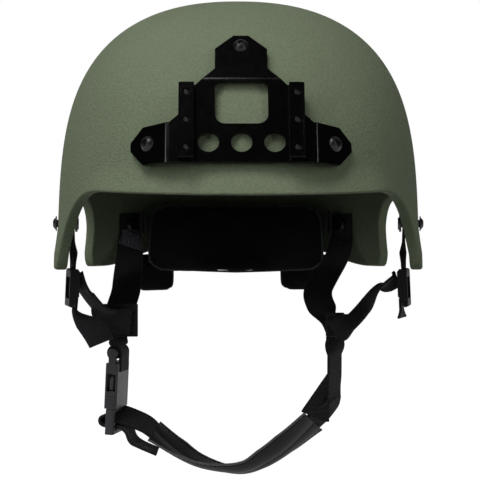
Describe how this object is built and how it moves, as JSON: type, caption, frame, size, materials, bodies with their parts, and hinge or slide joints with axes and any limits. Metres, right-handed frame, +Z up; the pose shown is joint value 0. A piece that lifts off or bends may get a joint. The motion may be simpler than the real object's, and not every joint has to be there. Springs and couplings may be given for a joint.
{
  "type": "combat helmet",
  "caption": "Combat helmet with an olive shell, a black front accessory bracket, foam liner pads, a nape pad and a four-point chin strap with a side-release buckle.",
  "frame": {"origin": "centre of the head opening, level with the lowest rim of the shell", "axes": "+X to the wearer's left, -Y to the front, +Z up through the crown"},
  "size_m": [0.2456, 0.2847, 0.3164],
  "materials": {
    "shell_paint": "textured olive green paint over a moulded fibre laminate",
    "bracket_paint": "gloss black powder coat",
    "black_steel": "black oxide",
    "plain_steel": "zinc plate",
    "hook_tape": "woven tape with hooks",
    "pad_cover": "brushed loop cloth over foam",
    "nape_cover": "smooth cloth over foam",
    "elastic": "ribbed elastic",
    "webbing": "woven herringbone webbing",
    "buckle_plastic": "moulded acetal, satin",
    "chin_leather": "grained synthetic leather"
  },
  "bodies": {
    "helmet": {"shell": "shell_paint", "bracket_plate": "bracket_paint", "bracket_rail_left": "bracket_paint", "bracket_rail_right": "bracket_paint", "rail_screws": "black_steel", "bracket_bolts": "black_steel", "bracket_nuts": "plain_steel", "strap_bolts": "black_steel", "strap_washers": "black_steel", "strap_nuts": "plain_steel", "hook_discs": "hook_tape", "crown_pad": "pad_cover", "front_pad": "pad_cover", "rear_pad": "pad_cover", "front_pad_left": "pad_cover", "front_pad_right": "pad_cover", "rear_pad_left": "pad_cover", "rear_pad_right": "pad_cover", "nape_pad": "nape_cover", "nape_tab_left": "nape_cover", "nape_tab_right": "nape_cover", "nape_elastic_left": "elastic", "nape_elastic_right": "elastic", "nape_buckles": "buckle_plastic", "front_strap_left": "webbing", "front_strap_right": "webbing", "lower_strap_left": "webbing", "lower_strap_right": "webbing", "rear_strap_left": "webbing", "rear_strap_right": "webbing", "junction_left": "webbing", "junction_right": "webbing"},
    "slider_left": {"slider_left": "buckle_plastic", "strap_tail_left": "webbing"},
    "slider_right": {"slider_right": "buckle_plastic", "strap_tail_right": "webbing"},
    "chin_strap": {"chin_strap_left": "webbing", "buckle_loop": "webbing", "buckle_socket": "buckle_plastic"},
    "chin_release": {"chin_web_left": "webbing", "chin_pad": "chin_leather", "chin_web_right": "webbing", "buckle_plug": "buckle_plastic"},
    "prong_front": {"buckle_prong_front": "buckle_plastic"},
    "prong_rear": {"buckle_prong_rear": "buckle_plastic"}
  },
  "joints": [
    {"name": "chin_swing", "type": "hinge", "parent": "helmet", "child": "chin_strap", "pos_m": [0, -0.008, -0.047], "axis": [1, 0, 0], "range_deg": [-35, 35]},
    {"name": "chin_release", "type": "hinge", "parent": "chin_strap", "child": "chin_release", "pos_m": [0.0644, -0.008, -0.08819], "axis": [-0.5, -0.866, 0], "range_deg": [0, 60]},
    {"name": "prong_squeeze", "type": "hinge", "parent": "chin_release", "child": "prong_front", "pos_m": [-0.08439, -0.01817, -0.09111], "axis": [-0.9772, 0.2079, 0.0427], "range_deg": [0, 6], "stiffness_Nm_per_rad": 0.05},
    {"name": "prong_follow", "type": "hinge", "parent": "chin_release", "child": "prong_rear", "pos_m": [-0.08007, 0.00217, -0.0913], "axis": [0.9772, -0.2079, -0.0427], "range_deg": [0, 6], "stiffness_Nm_per_rad": 0.05},
    {"name": "slider_left_slide", "type": "slide", "parent": "helmet", "child": "slider_left", "axis": [-0.0432, 0.006, 0.999], "range_m": [-0.003, 0.006]},
    {"name": "slider_right_slide", "type": "slide", "parent": "helmet", "child": "slider_right", "axis": [0.0432, 0.006, 0.999], "range_m": [-0.003, 0.006]}
  ],
  "couplings": [
    {"joint": "prong_follow", "follows": "prong_squeeze", "ratio": 1}
  ]
}
